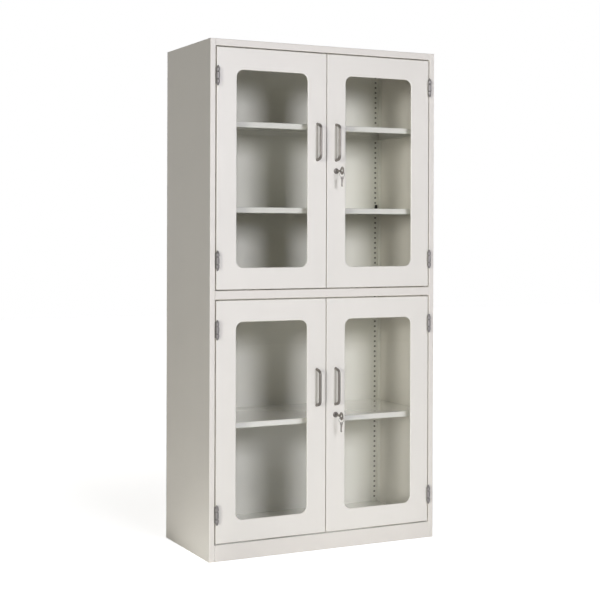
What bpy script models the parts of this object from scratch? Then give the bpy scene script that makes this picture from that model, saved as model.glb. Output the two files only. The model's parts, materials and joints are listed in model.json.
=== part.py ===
"""Glassware cabinet: a steel cupboard with two pairs of glazed doors, one pair above the other.

Metres, +Z up, and the doors face -Y. The origin is on the floor, under the middle of the whole object.
A depth is measured back from the flush front face of the frame, so what stands proud has a negative depth.
"""
import itertools
import math

import bmesh
import bpy
from mathutils import Matrix, Vector

# Carcass
cabinet_width = 0.900
cabinet_depth = 0.420
cabinet_height = 1.800
sheet = 0.0012              # steel sheet of the carcass, doors and shelves
fit_gap = 0.0003            # air left between pieces that touch
stile_width = 0.020         # front face of a side panel
return_depth = 0.020        # how far a frame edge is folded back behind its face
rear_flange = 0.020         # rear edge of a side panel, folded in
top_rail = 0.024
middle_rail = 0.030
plinth_height = 0.058       # floor to the lower compartment's deck
plinth_flange = 0.025
deck_lip = 0.030            # side lips of the base deck

# Slotted uprights, shelves and bearers
upright_sheet = 0.0015
upright_face = 0.030        # slotted leg, across the cabinet
upright_leg = 0.020         # leg along the side wall
slot_width = 0.008
slot_height = 0.006
slot_pitch = 0.020
slot_margin = 0.020         # deck to the middle of the first slot
upper_shelf_slots = {"upper_lower_shelf": 13, "upper_top_shelf": 28}
lower_shelf_slots = {"lower_shelf": 19}
shelf_lip = 0.020
shelf_setback = 0.046       # depth of a shelf's front lip
shelf_back_gap = 0.003      # a shelf's rear lip to the rear uprights
hook_drop = 0.010           # shelf top down to the slot that its bearers hook into
hook_reach = 0.0015         # tongue of a bearer past the slotted leg
hook_play = 0.0008          # air round a tongue in its slot
hook_room = 0.001           # tip of a tongue to the back panel or a shut door
bearer_seat = 0.013         # leg of a bearer that a shelf's side lip stands on

# Doors
door_gap = 0.004            # round the outside of a pair of doors
meeting_gap = 0.003         # between the two doors of a pair
door_thickness = 0.020
window_margin = 0.075
window_radius = 0.026
window_lip = 0.0035         # folded edge of the window, front face to glass
glass_thickness = 0.004
glass_overlap = 0.016       # glass hidden behind the window's edge
liner_relief = 0.010        # window of a door's inner sheet, larger than the front window all round

# Bow handles
handle_line = 0.0365        # meeting edge of a door to its handle and lock
handle_rise = 0.102         # middle of a door up to the middle of its handle
handle_centres = 0.128      # foot to foot
handle_bar = 0.116          # straight bar with its two bends
handle_reach = 0.028        # door face to the middle of the bar
handle_rod = 0.010
handle_bend = 0.015

# Hinges
hinge_inset = 0.100         # end of a door to the middle of its hinge
hinge_barrel = 0.054
hinge_knuckle = 0.014       # one of the two knuckles on the frame
hinge_tip = 0.008
hinge_tip_radius = 0.002
hinge_radius = 0.0065
hinge_forward = 0.0085      # pin in front of the door face
hinge_inward = 0.003        # pin from the middle of the gap towards the door
leaf_thickness = 0.0013
leaf_depth = 0.014
leaf_front = 0.001          # how far the full height of a leaf stands out of the gap
pin_radius = 0.0025
pin_play = 0.0001

# Locks and keys
rosette_radius = 0.010
rosette_thickness = 0.004
lock_radius = 0.008
lock_tail = 0.006           # lock barrel past the back of the door
plug_radius = 0.005
plug_play = 0.00012
cam_length = 0.050
cam_width = 0.016
cam_thickness = 0.0025
key_thickness = 0.0022
key_width = 0.007
key_in_plug = 0.018
key_play = 0.0003
key_reach = 0.060           # door face to the end of the key in the lock
bow_radius = 0.0145
bow_hole = 0.0045
ring_radius = 0.010
ring_wire = 0.0008
spare_bow = 0.0055
spare_length = 0.036
spare_turn = 60             # degrees that a hanging spare key is turned, so that its flat faces forward

# Facets
corner_steps = 5
round_sides = 16
bend_steps = 4
FLAT = math.radians(0.1)    # faces within this angle are one flat face

# Places that follow from the sizes
front_reach = max(key_reach, handle_reach + handle_rod / 2, hinge_forward + hinge_radius)
front_y = -(cabinet_depth - front_reach) / 2
half_width = cabinet_width / 2
between_stiles = half_width - stile_width - fit_gap
inside_walls = half_width - sheet - fit_gap
opening_height = (cabinet_height - plinth_height - middle_rail - top_rail) / 2
lower_deck = plinth_height
upper_deck = plinth_height + opening_height + middle_rail
back_depth = cabinet_depth - sheet - fit_gap - sheet
front_upright_depth = max(door_thickness, return_depth) + hook_room + hook_reach
rear_upright_depth = back_depth - hook_room - hook_reach - upright_sheet
inside_uprights = inside_walls - upright_face - fit_gap
slot_centre = inside_walls - upright_face / 2
slot_count = int((opening_height - 2 * slot_margin) / slot_pitch + 0.001) + 1
bearer_wall = inside_walls - upright_sheet - fit_gap
shelf_half = bearer_wall - sheet - fit_gap
door_width = (cabinet_width - 2 * stile_width - 2 * door_gap - meeting_gap) / 2
door_height = opening_height - 2 * door_gap
glass_front = window_lip + fit_gap
glass_back = glass_front + glass_thickness
pin_from_middle = half_width - stile_width - door_gap / 2 - hinge_inward
lock_x = meeting_gap / 2 + handle_line
lock_back = door_thickness + lock_tail
bow_depth = -(key_reach - bow_radius)

# Finishes: colour, roughness, metallic
PAINT = ((0.77, 0.75, 0.73), 0.45, 0.0)
DOOR_PAINT = ((0.79, 0.76, 0.74), 0.42, 0.0)
INNER_PAINT = ((0.71, 0.71, 0.68), 0.5, 0.0)
GLASS = ((0.86, 0.92, 0.90), 0.03, 0.0)
CHROME = ((0.72, 0.71, 0.69), 0.18, 1.0)
ZINC = ((0.45, 0.44, 0.43), 0.4, 1.0)
NICKEL = ((0.62, 0.60, 0.57), 0.3, 1.0)


def start_scene():
    """Empty the scene and make the collection that the pieces go in."""
    for old in list(bpy.data.objects):
        bpy.data.objects.remove(old, do_unlink=True)
    collection = bpy.data.collections.new("glassware_cabinet")
    bpy.context.scene.collection.children.link(collection)
    return collection


parts = start_scene()


def add_object(name, mesh):
    """Put a mesh into the parts collection under a name."""
    piece = bpy.data.objects.new(name, mesh)
    parts.objects.link(piece)
    return piece


def mesh_from(bm, name):
    """Turn a bmesh into a mesh, and free it."""
    mesh = bpy.data.meshes.new(name)
    bm.to_mesh(mesh)
    bm.free()
    return mesh


def at(depth):
    """World Y of a depth behind the front face."""
    return front_y + depth


def boxwork(name, blocks, holes=()):
    """One solid from overlapping boxes, less other boxes, each given as its X, depth and Z spans.

    The edges of all boxes cut space into cells. A cell is solid if it is in a box and in no hole, and a face
    is made wherever a solid cell borders an empty one.
    """
    boxes = [[sorted(span) for span in box] for box in (*blocks, *holes)]
    lines = []
    for axis in range(3):
        places = sorted({round(place, 7) for box in boxes for place in box[axis]})
        lines.append(places)
    solid = set()
    for number, box in enumerate(boxes):
        ranges = [range(lines[axis].index(round(box[axis][0], 7)), lines[axis].index(round(box[axis][1], 7)))
                  for axis in range(3)]
        cells = set(itertools.product(*ranges))
        solid = solid | cells if number < len(blocks) else solid - cells
    bm = bmesh.new()
    verts = {}
    for cell in sorted(solid):
        for axis, step in itertools.product(range(3), (0, 1)):
            beside = list(cell)
            beside[axis] += 1 if step else -1
            if tuple(beside) in solid:
                continue
            first, second = [other for other in range(3) if other != axis]
            corners = []
            for across, along in ((0, 0), (1, 0), (1, 1), (0, 1)):
                corner = list(cell)
                corner[axis] += step
                corner[first] += across
                corner[second] += along
                key = tuple(corner)
                if key not in verts:
                    x, depth, z = (lines[n][key[n]] for n in range(3))
                    verts[key] = bm.verts.new((x, at(depth), z))
                corners.append(verts[key])
            bm.faces.new(corners)
    bmesh.ops.recalc_face_normals(bm, faces=bm.faces)
    bmesh.ops.dissolve_limit(bm, angle_limit=FLAT, verts=bm.verts, edges=bm.edges)
    return add_object(name, mesh_from(bm, name))


# Turn a profile's own X, Y and Z to the named plane, with its thickness along the third axis.
PLANES = {
    "XY": Matrix.Identity(4),
    "XZ": Matrix.Rotation(math.pi / 2, 4, "X"),
    "YZ": Matrix(((0, 0, 1, 0), (1, 0, 0, 0), (0, 1, 0, 0), (0, 0, 0, 1))),
}


def plate(name, loops, plane, span):
    """A flat outline with holes, extruded over a span of the axis square to its plane.

    Loops hold world X and Z, world X and Y, or world Y and Z, and the span is in world coordinates too.
    """
    curve = bpy.data.curves.new(name, "CURVE")
    curve.dimensions = "2D"
    curve.fill_mode = "BOTH"
    curve.extrude = abs(span[1] - span[0]) / 2
    for loop in loops:
        spline = curve.splines.new("POLY")
        spline.points.add(len(loop) - 1)
        for point, (u, v) in zip(spline.points, loop):
            point.co = (u, v, 0.0, 1.0)
        spline.use_cyclic_u = True
    middle = (span[0] + span[1]) / 2
    shift = {"XY": (0, 0, middle), "XZ": (0, middle, 0), "YZ": (middle, 0, 0)}[plane]
    return solid_from_curve(name, curve, Matrix.Translation(shift) @ PLANES[plane])


def solid_from_curve(name, curve, placing):
    """Make a curve's evaluated shape a closed mesh in its place."""
    guide = bpy.data.objects.new(name + "_curve", curve)
    parts.objects.link(guide)
    evaluated = guide.evaluated_get(bpy.context.evaluated_depsgraph_get())
    mesh = bpy.data.meshes.new_from_object(evaluated)
    bpy.data.objects.remove(guide, do_unlink=True)
    bm = bmesh.new()
    bm.from_mesh(mesh)
    bmesh.ops.remove_doubles(bm, verts=bm.verts, dist=1e-6)
    bmesh.ops.recalc_face_normals(bm, faces=bm.faces)
    bm.transform(placing)
    bm.to_mesh(mesh)
    bm.free()
    return add_object(name, mesh)


def revolved(name, place, direction, profile, is_tube=False):
    """A round piece about an axis: rings from a profile of radius and distance along the axis.

    A tube's profile closes on itself; any other piece is capped at both ends.
    """
    aim = Vector(direction).to_track_quat("Z", "Y").to_matrix().to_4x4()
    bm = bmesh.new()
    rings = []
    for radius, along in profile:
        rings.append([bm.verts.new((x, y, along)) for x, y in circle(0, 0, radius)])
    pairs = list(zip(rings, rings[1:] + rings[:1])) if is_tube else list(zip(rings, rings[1:]))
    for ring, following in pairs:
        for step in range(round_sides):
            after = (step + 1) % round_sides
            bm.faces.new((ring[step], ring[after], following[after], following[step]))
    if not is_tube:
        bm.faces.new(rings[0])
        bm.faces.new(rings[-1])
    bmesh.ops.recalc_face_normals(bm, faces=bm.faces)
    bm.transform(Matrix.Translation(place) @ aim)
    return add_object(name, mesh_from(bm, name))


def combine(base, operation, *others):
    """Join to, or cut from, a piece the other solids, one after another; they are used up."""
    for other in others:
        step = base.modifiers.new("step", "BOOLEAN")
        step.operation = operation
        step.solver = "EXACT"
        step.object = other
        evaluated = base.evaluated_get(bpy.context.evaluated_depsgraph_get())
        mesh = bpy.data.meshes.new_from_object(evaluated)
        base.modifiers.clear()
        bm = bmesh.new()
        bm.from_mesh(mesh)
        bmesh.ops.remove_doubles(bm, verts=bm.verts, dist=1e-6)
        bmesh.ops.dissolve_limit(bm, angle_limit=FLAT, verts=bm.verts, edges=bm.edges)
        bm.to_mesh(mesh)
        bm.free()
        base.data = mesh
        bpy.data.objects.remove(other, do_unlink=True)
    return base


def rectangle(x_span, z_span):
    """Four corners."""
    (x0, x1), (z0, z1) = x_span, z_span
    return [(x0, z0), (x1, z0), (x1, z1), (x0, z1)]


def rounded_rectangle(x_span, z_span, radius):
    """A rectangle whose corners are arcs."""
    x0, x1 = sorted(x_span)
    z0, z1 = sorted(z_span)
    corners = (
        (x1 - radius, z0 + radius, -90), (x1 - radius, z1 - radius, 0),
        (x0 + radius, z1 - radius, 90), (x0 + radius, z0 + radius, 180))
    loop = []
    for x, z, start in corners:
        for step in range(corner_steps + 1):
            angle = math.radians(start + 90 * step / corner_steps)
            loop.append((x + radius * math.cos(angle), z + radius * math.sin(angle)))
    return loop


def circle(x, z, radius):
    """A round hole or disc, as a regular loop."""
    turns = [2 * math.pi * step / round_sides for step in range(round_sides)]
    return [(x + radius * math.cos(turn), z + radius * math.sin(turn)) for turn in turns]


def finish(piece, look):
    """Give a piece its own material."""
    colour, roughness, metallic = look
    material = bpy.data.materials.new(piece.name)
    material.use_nodes = True
    shader = material.node_tree.nodes["Principled BSDF"]
    shader.inputs["Base Color"].default_value = (*colour, 1.0)
    shader.inputs["Roughness"].default_value = roughness
    shader.inputs["Metallic"].default_value = metallic
    piece.data.materials.clear()
    piece.data.materials.append(material)
    return piece


def smooth(piece):
    """Shade a round piece smooth, with its sharp edges kept."""
    piece.data.shade_smooth()
    piece.data.set_sharp_from_angle(angle=math.radians(35))
    return piece


def pivot(name, place, parent=None):
    """An empty on a joint's axis, which the moving pieces hang from."""
    empty = bpy.data.objects.new(name, None)
    parts.objects.link(empty)
    empty.location = Vector(place)
    if parent:
        empty.parent = parent
        empty.location = Vector(place) - world_place(parent)
    return empty


def world_place(empty):
    """Where an empty is, with its parents' places added."""
    place = empty.location.copy()
    while empty.parent:
        empty = empty.parent
        place += empty.location
    return place


def hang(piece, empty):
    """Parent a piece to an empty, with its own origin there."""
    piece.data.transform(Matrix.Translation(-world_place(empty)))
    piece.parent = empty
    return piece


def side_panel(side):
    """A side panel: return, front stile, wall and rear flange, folded from one sheet."""
    name = "left_side_panel" if side < 0 else "right_side_panel"
    stile_edge = half_width - stile_width
    height = (0.0, cabinet_height - sheet - fit_gap)
    folds = [
        ((stile_edge, stile_edge + sheet), (0, return_depth)),
        ((stile_edge, half_width), (0, sheet)),
        ((half_width - sheet, half_width), (0, cabinet_depth)),
        ((half_width - rear_flange, half_width), (cabinet_depth - sheet, cabinet_depth))]
    blocks = [(tuple(side * x for x in across), depths, height) for across, depths in folds]
    finish(boxwork(name, blocks), PAINT)


def front_rail(top, height):
    """Blocks of a front rail between the stiles: its face, and the return at its foot."""
    across = (-between_stiles, between_stiles)
    foot = top - height
    return [(across, (0, sheet), (foot, top)), (across, (0, return_depth), (foot, foot + sheet))]


def top_panel():
    """The lid, with the top rail folded down from its front edge."""
    lid = ((-half_width, half_width), (0, cabinet_depth), (cabinet_height - sheet, cabinet_height))
    finish(boxwork("top_panel", [lid, *front_rail(cabinet_height, top_rail)]), PAINT)


def base_panel():
    """The lower deck, with lips down its sides and a rear lip that stands on the floor."""
    rear = back_depth - fit_gap
    behind_stiles = return_depth + fit_gap
    skin = (lower_deck - sheet, lower_deck)
    walls = (-inside_walls, inside_walls)
    blocks = [
        ((-between_stiles, between_stiles), (0, rear), skin),
        (walls, (behind_stiles, rear), skin),
        (walls, (rear - sheet, rear), (0, lower_deck))]
    for side in (-1, 1):
        lip = (side * inside_walls, side * (inside_walls - sheet))
        blocks.append((lip, (behind_stiles, rear), (lower_deck - deck_lip, lower_deck)))
    finish(boxwork("base_panel", blocks), INNER_PAINT)


def plinth_rail():
    """The front plinth: a channel whose upper flange carries the deck and whose lower one is on the floor."""
    top = plinth_height - sheet - fit_gap
    across = (-between_stiles, between_stiles)
    blocks = [
        (across, (0, sheet), (0, top)),
        (across, (0, plinth_flange), (0, sheet)),
        (across, (0, plinth_flange), (top - sheet, top))]
    finish(boxwork("plinth_rail", blocks), PAINT)


def middle_divider():
    """The fixed deck between the compartments, cut round the uprights, with the middle rail at its front."""
    rear = back_depth - fit_gap
    front_leg = front_upright_depth + upright_sheet + upright_leg + fit_gap
    rear_leg = rear_upright_depth - upright_leg - fit_gap
    skin = (upper_deck - sheet, upper_deck)
    clear = (-inside_uprights, inside_uprights)
    blocks = [
        ((-between_stiles, between_stiles), (0, front_upright_depth - fit_gap), skin),
        (clear, (0, rear), skin),
        ((-inside_walls, inside_walls), (front_leg, rear_leg), skin),
        (clear, (rear - sheet, rear), (upper_deck - middle_rail, upper_deck)),
        *front_rail(upper_deck, middle_rail)]
    finish(boxwork("middle_divider", blocks), PAINT)


def back_panel():
    """The back sheet, set inside the rear flanges."""
    sheet_block = ((-inside_walls, inside_walls), (back_depth, back_depth + sheet),
                   (0, cabinet_height - sheet - fit_gap))
    finish(boxwork("back_panel", [sheet_block]), INNER_PAINT)


def slot_height_above(deck, number):
    """Height of the middle of a numbered slot above a deck."""
    return deck + slot_margin + number * slot_pitch


def upright(side, is_front):
    """A slotted corner angle, from the lower deck to the lid."""
    name = ("left" if side < 0 else "right") + ("_front_upright" if is_front else "_rear_upright")
    height = (lower_deck + fit_gap, cabinet_height - sheet - fit_gap)
    depth = front_upright_depth if is_front else rear_upright_depth
    face_depths = (depth, depth + upright_sheet)
    leg_depths = (depth, depth + upright_sheet + upright_leg) if is_front else (
        depth - upright_leg, depth + upright_sheet)
    outer = side * inside_walls
    face = ((outer, side * (inside_walls - upright_face)), face_depths, height)
    leg = ((outer, outer - side * upright_sheet), leg_depths, height)
    slot_edges = (side * slot_centre - slot_width / 2, side * slot_centre + slot_width / 2)
    slots = []
    for deck in (lower_deck, upper_deck):
        for number in range(slot_count):
            middle = slot_height_above(deck, number)
            slots.append((slot_edges, face_depths, (middle - slot_height / 2, middle + slot_height / 2)))
    finish(boxwork(name, [face, leg], slots), INNER_PAINT)


def shelf(name, top):
    """A shelf: a flat deck with lips folded down all round."""
    back = rear_upright_depth - shelf_back_gap
    depths = (shelf_setback, back)
    across = (-shelf_half, shelf_half)
    lip = (top - shelf_lip, top)
    blocks = [
        (across, depths, (top - sheet, top)),
        (across, (shelf_setback, shelf_setback + sheet), lip),
        (across, (back - sheet, back), lip)]
    for side in (-1, 1):
        blocks.append(((side * shelf_half, side * (shelf_half - sheet)), depths, lip))
    finish(boxwork(name, blocks), INNER_PAINT)


def bearer(shelf_name, side, top):
    """An angle under one side of a shelf, with a tongue at each end that goes through an upright's slot."""
    name = shelf_name + ("_left_bearer" if side < 0 else "_right_bearer")
    front = front_upright_depth + upright_sheet + fit_gap
    rear = rear_upright_depth - fit_gap
    seat_top = top - shelf_lip - fit_gap
    seat_foot = seat_top - sheet
    middle = top - hook_drop
    half = slot_width / 2 - hook_play
    half_tongue = slot_height / 2 - hook_play
    wall = side * bearer_wall
    blocks = [
        ((wall, wall - side * (sheet + bearer_seat)), (front, rear), (seat_foot, seat_top)),
        ((wall, wall - side * sheet), (front, rear), (seat_foot, top))]
    tongue_across = (side * slot_centre - half, side * slot_centre + half)
    tongue_height = (middle - half_tongue, middle + half_tongue)
    past_upright = fit_gap + upright_sheet + hook_reach
    ear_across = (wall, side * (slot_centre - half))
    for end, ahead in ((front, -1), (rear, 1)):
        inward = end - ahead * sheet
        blocks.append((ear_across, (end, inward), (seat_foot, middle + half_tongue)))
        blocks.append((tongue_across, (end + ahead * past_upright, inward), tongue_height))
    finish(boxwork(name, blocks), INNER_PAINT)


def shelves():
    """All shelves with their bearers."""
    for deck, slots in ((lower_deck, lower_shelf_slots), (upper_deck, upper_shelf_slots)):
        for name, number in slots.items():
            top = slot_height_above(deck, number) + hook_drop
            shelf(name, top)
            for side in (-1, 1):
                bearer(name, side, top)


def door_shell(name, x_span, z_span, window, lock_hole):
    """The outer door pan: skin, folded edges and the folded edge of the window."""
    loops = [rectangle(x_span, z_span), rounded_rectangle(*window, window_radius)] + lock_hole
    skin = plate(name, loops, "XZ", (at(0), at(sheet)))
    inset = [(span[0] + sheet, span[1] - sheet) for span in (x_span, z_span)]
    edge = plate("edge", [rectangle(x_span, z_span), rectangle(*inset)], "XZ",
                 (at(sheet / 2), at(door_thickness)))
    lip = window_frame(window, window_radius, (sheet / 2, window_lip))
    return finish(combine(skin, "UNION", edge, lip), DOOR_PAINT)


def window_frame(window, radius, depths):
    """The folded edge round a window, between two depths."""
    around = [(span[0] - sheet, span[1] + sheet) for span in window]
    loops = [rounded_rectangle(*around, radius + sheet), rounded_rectangle(*window, radius)]
    return plate("window_frame", loops, "XZ", (at(depths[0]), at(depths[1])))


def door_liner(name, x_span, z_span, window, lock_hole):
    """The inner door sheet: it closes the pan from behind, and its window edge holds the glass."""
    inset = sheet + fit_gap
    outer = [(span[0] + inset, span[1] - inset) for span in (x_span, z_span)]
    wider = [(span[0] - liner_relief, span[1] + liner_relief) for span in window]
    radius = window_radius + liner_relief
    loops = [rectangle(*outer), rounded_rectangle(*wider, radius)] + lock_hole
    back = plate(name, loops, "XZ", (at(door_thickness - sheet), at(door_thickness)))
    lip = window_frame(wider, radius, (glass_back + fit_gap, door_thickness - sheet / 2))
    return finish(combine(back, "UNION", lip), INNER_PAINT)


def glass_pane(name, window):
    """The pane, larger than the window all round."""
    around = [(span[0] - glass_overlap, span[1] + glass_overlap) for span in window]
    loops = [rounded_rectangle(*around, window_radius)]
    return finish(plate(name, loops, "XZ", (at(glass_front), at(glass_back))), GLASS)


def bent_path(points, radius):
    """A path of straight runs whose corners are arcs, in depth and height."""
    path = [points[0]]
    for before, corner, after in zip(points, points[1:], points[2:]):
        back = (Vector(before) - Vector(corner)).normalized()
        ahead = (Vector(after) - Vector(corner)).normalized()
        half_angle = back.angle(ahead) / 2
        middle = Vector(corner) + (back + ahead).normalized() * radius / math.sin(half_angle)
        spread = math.pi / 2 - half_angle
        outward = (Vector(corner) - middle).normalized()
        turn = 1 if back.x * ahead.y - back.y * ahead.x > 0 else -1
        for step in range(bend_steps + 1):
            angle = turn * spread * (1 - 2 * step / bend_steps)
            point = middle + Matrix.Rotation(angle, 2) @ outward * radius
            path.append(tuple(point))
    path.append(points[-1])
    return path


def bow_handle(name, x, z):
    """A bow handle bent from round bar, standing on the door skin by its two feet."""
    foot = handle_centres / 2
    bend = handle_bar / 2
    square_foot = handle_rod / 4
    corners = [
        (-fit_gap, z + foot), (-handle_reach, z + bend), (-handle_reach, z - bend), (-fit_gap, z - foot)]
    path = bent_path(corners, handle_bend)
    path = [path[0], (path[0][0] - square_foot, path[0][1])] + path[1:]
    path = path[:-1] + [(path[-1][0] - square_foot, path[-1][1]), path[-1]]
    curve = bpy.data.curves.new(name, "CURVE")
    curve.dimensions = "3D"
    curve.bevel_depth = handle_rod / 2
    curve.bevel_resolution = 3
    curve.use_fill_caps = True
    spline = curve.splines.new("POLY")
    spline.points.add(len(path) - 1)
    for point, (depth, height) in zip(spline.points, path):
        point.co = (x, at(depth), height, 1.0)
    return smooth(finish(solid_from_curve(name, curve, Matrix.Identity(4)), CHROME))


def hinge(door_name, label, side, z):
    """A butt hinge: the half on the frame, with two knuckles and the pin, and the half on the door."""
    pin = (side * pin_from_middle, at(-hinge_forward), z)
    half = hinge_barrel / 2
    seam = half - hinge_knuckle
    end = half + hinge_tip
    stile_edge = side * (half_width - stile_width)
    door_edge = stile_edge - side * door_gap
    leaf = ((-leaf_front, leaf_depth), (z - half, z + half))

    frame_across = (stile_edge - side * fit_gap, stile_edge - side * (fit_gap + leaf_thickness))
    frame_blocks = [(frame_across, *leaf)]
    for low, high in ((-half, -seam), (seam, half)):
        frame_blocks.append((frame_across, (-hinge_forward, 0), (z + low, z + high)))
    barrel = revolved("barrel", pin, (0, 0, 1), [
        (hinge_tip_radius, -end), (hinge_radius, -half), (hinge_radius, -seam), (pin_radius, -seam),
        (pin_radius, seam), (hinge_radius, seam), (hinge_radius, half), (hinge_tip_radius, end)])
    frame_half = combine(boxwork(f"{door_name}_{label}_hinge_frame_half", frame_blocks), "UNION", barrel)

    middle_half = seam - fit_gap
    bore = pin_radius + pin_play
    door_across = (door_edge + side * fit_gap, door_edge + side * (fit_gap + leaf_thickness))
    tab_front = -hinge_forward + (bore + hinge_radius) / 2
    door_blocks = [(door_across, *leaf), (door_across, (tab_front, 0), (z - middle_half, z + middle_half))]
    knuckle = revolved("knuckle", pin, (0, 0, 1), [
        (hinge_radius, -middle_half), (hinge_radius, middle_half), (bore, middle_half), (bore, -middle_half)],
        is_tube=True)
    door_half = combine(boxwork(f"{door_name}_{label}_hinge_door_half", door_blocks), "UNION", knuckle)
    return smooth(finish(frame_half, ZINC)), smooth(finish(door_half, ZINC))


def lock_body(name, z):
    """The fixed part of a cam lock: a rosette on the door and a barrel through it, bored for the plug."""
    bore = plug_radius + plug_play
    face = -rosette_thickness - fit_gap
    body = revolved(name, (lock_x, at(0), z), (0, 1, 0), [
        (bore, face), (rosette_radius, face), (rosette_radius, -fit_gap), (lock_radius, -fit_gap),
        (lock_radius, lock_back), (bore, lock_back)], is_tube=True)
    return smooth(finish(body, CHROME))


def lock_plug(name, z):
    """The turning plug with its keyway, and the cam on its inner end, which hangs down when unlocked."""
    cam_front = lock_back + fit_gap
    cam_back = cam_front + cam_thickness
    face = -rosette_thickness - fit_gap
    plug = revolved(name, (lock_x, at(0), z), (0, 1, 0),
                    [(plug_radius, face), (plug_radius, cam_front + cam_thickness / 2)])
    half = cam_width / 2
    tip = z - cam_length + half
    outline = [(lock_x + half, z + half), (lock_x - half, z + half), (lock_x - half, tip)]
    for step in range(1, bend_steps + 1):
        angle = math.pi * (1 + step / bend_steps)
        outline.append((lock_x + half * math.cos(angle), tip + half * math.sin(angle)))
    cam = plate("cam", [outline], "XZ", (at(cam_front), at(cam_back)))
    slot_x = key_thickness / 2 + key_play
    slot_z = key_width / 2 + key_play
    keyway = boxwork("keyway", [((lock_x - slot_x, lock_x + slot_x), (face - key_in_plug, face + key_in_plug),
                                 (z - slot_z, z + slot_z))])
    return smooth(finish(combine(combine(plug, "UNION", cam), "DIFFERENCE", keyway), NICKEL))


def key_in_lock(name, z):
    """The key in the lock: a blade in the keyway and a round bow, upright, with a hole on the lock's axis."""
    face = -rosette_thickness - fit_gap
    thickness = (lock_x - key_thickness / 2, lock_x + key_thickness / 2)
    loops = [circle(at(bow_depth), z, bow_radius), circle(at(bow_depth), z, bow_hole)]
    bow = plate(name, loops, "YZ", thickness)
    neck = bow_depth + (bow_radius + bow_hole) / 2
    blade = boxwork("blade", [(thickness, (neck, face + key_in_plug - fit_gap),
                               (z - key_width / 2, z + key_width / 2))])
    return finish(combine(bow, "UNION", blade), NICKEL)


def spare_key(name, z):
    """The spare key on its ring, which hangs in the hole of the first key's bow."""
    top = z - bow_hole + ring_wire + fit_gap
    centre = top - ring_radius
    bm = bmesh.new()
    profile_sides = 6
    wire = [(ring_radius + ring_wire * math.cos(2 * math.pi * step / profile_sides),
             ring_wire * math.sin(2 * math.pi * step / profile_sides)) for step in range(profile_sides)]
    verts = [bm.verts.new((radius, height, 0.0)) for radius, height in wire]
    edges = [bm.edges.new((verts[step], verts[(step + 1) % profile_sides])) for step in range(profile_sides)]
    bmesh.ops.spin(bm, geom=verts + edges, cent=(0, 0, 0), axis=(0, 1, 0), angle=2 * math.pi,
                   steps=round_sides, use_merge=True)
    bmesh.ops.remove_doubles(bm, verts=bm.verts, dist=1e-6)
    bmesh.ops.recalc_face_normals(bm, faces=bm.faces)
    bm.transform(Matrix.Translation((lock_x, at(bow_depth), centre)))
    ring = add_object(name, mesh_from(bm, name))
    thickness = (lock_x - key_thickness / 2, lock_x + key_thickness / 2)
    bow_middle = centre - ring_radius - spare_bow / 2
    bow = plate("bow", [circle(at(bow_depth), bow_middle, spare_bow)], "YZ", thickness)
    foot = bow_middle + spare_bow - spare_length
    blade = boxwork("blade", [(thickness, (bow_depth - key_width / 2, bow_depth + key_width / 2),
                               (foot, bow_middle - spare_bow / 2))])
    hanging = Matrix.Translation((lock_x, at(bow_depth), 0))
    turn = hanging @ Matrix.Rotation(math.radians(spare_turn), 4, "Z") @ hanging.inverted()
    for flat in (bow, blade):
        flat.data.transform(turn)
    return finish(combine(ring, "UNION", bow, blade), NICKEL)


def door(level, deck, side):
    """One door with everything that it carries."""
    name = f"{level}_{'left' if side < 0 else 'right'}_door"
    inner = meeting_gap / 2
    x_span = tuple(sorted((side * inner, side * (inner + door_width))))
    z_span = (deck + door_gap, deck + door_gap + door_height)
    window = [(span[0] + window_margin, span[1] - window_margin) for span in (x_span, z_span)]
    middle = (z_span[0] + z_span[1]) / 2
    has_lock = side > 0
    lock_hole = [circle(lock_x, middle, lock_radius + fit_gap)] if has_lock else []

    post = pivot(f"{name}_pivot", (side * pin_from_middle, at(-hinge_forward), middle))
    carried = [
        door_shell(f"{name}_shell", x_span, z_span, window, lock_hole),
        door_liner(f"{name}_liner", x_span, z_span, window, lock_hole),
        glass_pane(f"{name}_glass", window),
        bow_handle(f"{name}_handle", side * lock_x, middle + handle_rise)]
    for label, z in (("top", z_span[1] - hinge_inset), ("bottom", z_span[0] + hinge_inset)):
        carried.append(hinge(name, label, side, z)[1])
    if has_lock:
        carried.append(lock_body(f"{level}_lock_body", middle))
        lock_axis = pivot(f"{level}_lock_axis", (lock_x, at(0), middle), post)
        hang(lock_plug(f"{level}_lock_plug", middle), lock_axis)
        hang(key_in_lock(f"{level}_key", middle), lock_axis)
        hook = pivot(f"{level}_spare_key_hook", (lock_x, at(bow_depth), middle - (bow_hole + bow_radius) / 2),
                     lock_axis)
        hang(spare_key(f"{level}_spare_key", middle), hook)
    for piece in carried:
        hang(piece, post)


side_panel(-1)
side_panel(1)
top_panel()
base_panel()
plinth_rail()
middle_divider()
back_panel()
for side_of_cabinet in (-1, 1):
    upright(side_of_cabinet, True)
    upright(side_of_cabinet, False)
shelves()
for level_name, level_deck in (("upper", upper_deck), ("lower", lower_deck)):
    for side_of_cabinet in (-1, 1):
        door(level_name, level_deck, side_of_cabinet)
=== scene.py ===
"""Looks of a steel glassware cabinet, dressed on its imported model.

The file follows the cabinet as it is put together: the studio, the carcass, the shelves, and then the doors
with their glass, handles, hinges, locks and keys. Metres, +Z up, and the doors face -Y.
"""
import json
import math

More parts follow.
